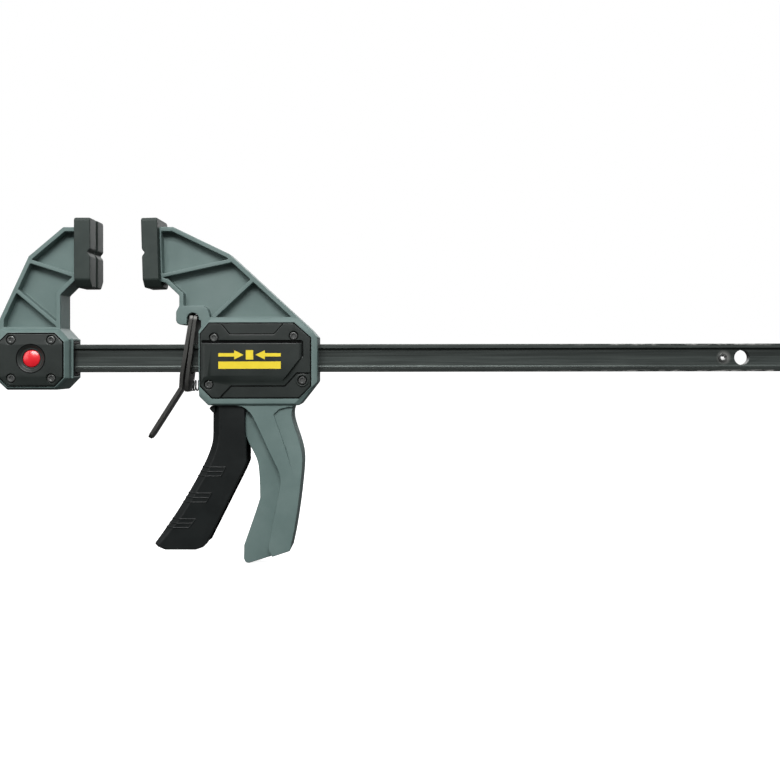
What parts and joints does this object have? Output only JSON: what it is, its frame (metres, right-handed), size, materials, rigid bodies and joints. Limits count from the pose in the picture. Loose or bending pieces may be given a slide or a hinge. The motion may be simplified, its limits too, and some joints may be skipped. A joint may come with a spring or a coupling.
{
  "type": "quick release bar clamp",
  "caption": "One-handed bar clamp: fixed and sliding jaw on a steel I-bar, squeeze trigger, release lever and push-button jaw latch.",
  "frame": {"origin": "on the bar's centre line, in the plane of the fixed pad's clamping face", "axes": "+X along the bar from the fixed jaw towards the sliding head, +Z towards the pads, +Y from the button side through the clamp"},
  "size_m": [0.573, 0.04, 0.2462],
  "materials": {
    "bar_steel": "black oxide, satin, worn bright at the edges",
    "pin_steel": "bare steel, satin",
    "grey_nylon": "moulded glass-filled nylon, fine matt texture",
    "pad_rubber": "matt moulded rubber",
    "black_plastic": "matt",
    "cover_plastic": "satin moulded plastic",
    "trigger_plastic": "satin moulded plastic",
    "red_plastic": "gloss",
    "screw_steel": "black oxide",
    "spring_steel": "drawn spring wire",
    "zinc_steel": "zinc plated",
    "plate_steel": "black oxide, satin"
  },
  "bodies": {
    "base": {"bar": "bar_steel", "stop_pins": "pin_steel", "fixed_jaw": "grey_nylon", "fixed_pad": "pad_rubber", "bar_sleeve": "black_plastic", "fixed_front_cover": "cover_plastic", "fixed_back_cover": "cover_plastic", "fixed_front_screws": "screw_steel", "fixed_back_screws": "screw_steel", "latch_spring": "spring_steel"},
    "latch": {"latch_button": "red_plastic", "latch_yoke": "zinc_steel"},
    "head": {"head_body": "grey_nylon", "moving_pad": "pad_rubber", "head_front_cover": "cover_plastic", "head_back_cover": "cover_plastic", "head_front_screws": "screw_steel", "head_back_screws": "screw_steel", "trigger_pin": "pin_steel", "drive_spring": "spring_steel", "spring_washer": "zinc_steel", "brake_spring": "spring_steel"},
    "trigger": {"trigger": "trigger_plastic"},
    "drive": {"drive_plates": "zinc_steel"},
    "lever": {"release_lever": "plate_steel", "brake_plate": "plate_steel"}
  },
  "joints": [
    {"name": "head_slide", "type": "slide", "parent": "base", "child": "head", "axis": [1, 0, 0], "range_m": [-0.0352, 0.2874]},
    {"name": "trigger_squeeze", "type": "hinge", "parent": "head", "child": "trigger", "pos_m": [0.099, 0, -0.0216], "axis": [0, -1, 0], "range_deg": [0, 13.5], "stiffness_Nm_per_rad": 1.5, "springref_deg": -8.59},
    {"name": "drive_stroke", "type": "slide", "parent": "head", "child": "drive", "axis": [1, 0, 0], "range_m": [0, 0.0021], "deforming": ["drive_spring"]},
    {"name": "lever_release", "type": "hinge", "parent": "head", "child": "lever", "pos_m": [0.0714, 0, 0.0282], "axis": [0, -1, 0], "range_deg": [0, 6.5], "stiffness_Nm_per_rad": 1.2, "springref_deg": -6.88, "deforming": ["brake_spring"]},
    {"name": "latch_press", "type": "slide", "parent": "base", "child": "latch", "axis": [0, 1, 0], "range_m": [0, 0.0045], "stiffness_N_per_m": 900, "springref_m": -0.003, "deforming": ["latch_spring"]}
  ],
  "couplings": [
    {"joint": "drive_stroke", "follows": "trigger_squeeze", "m_per_rad": 0.0085}
  ]
}
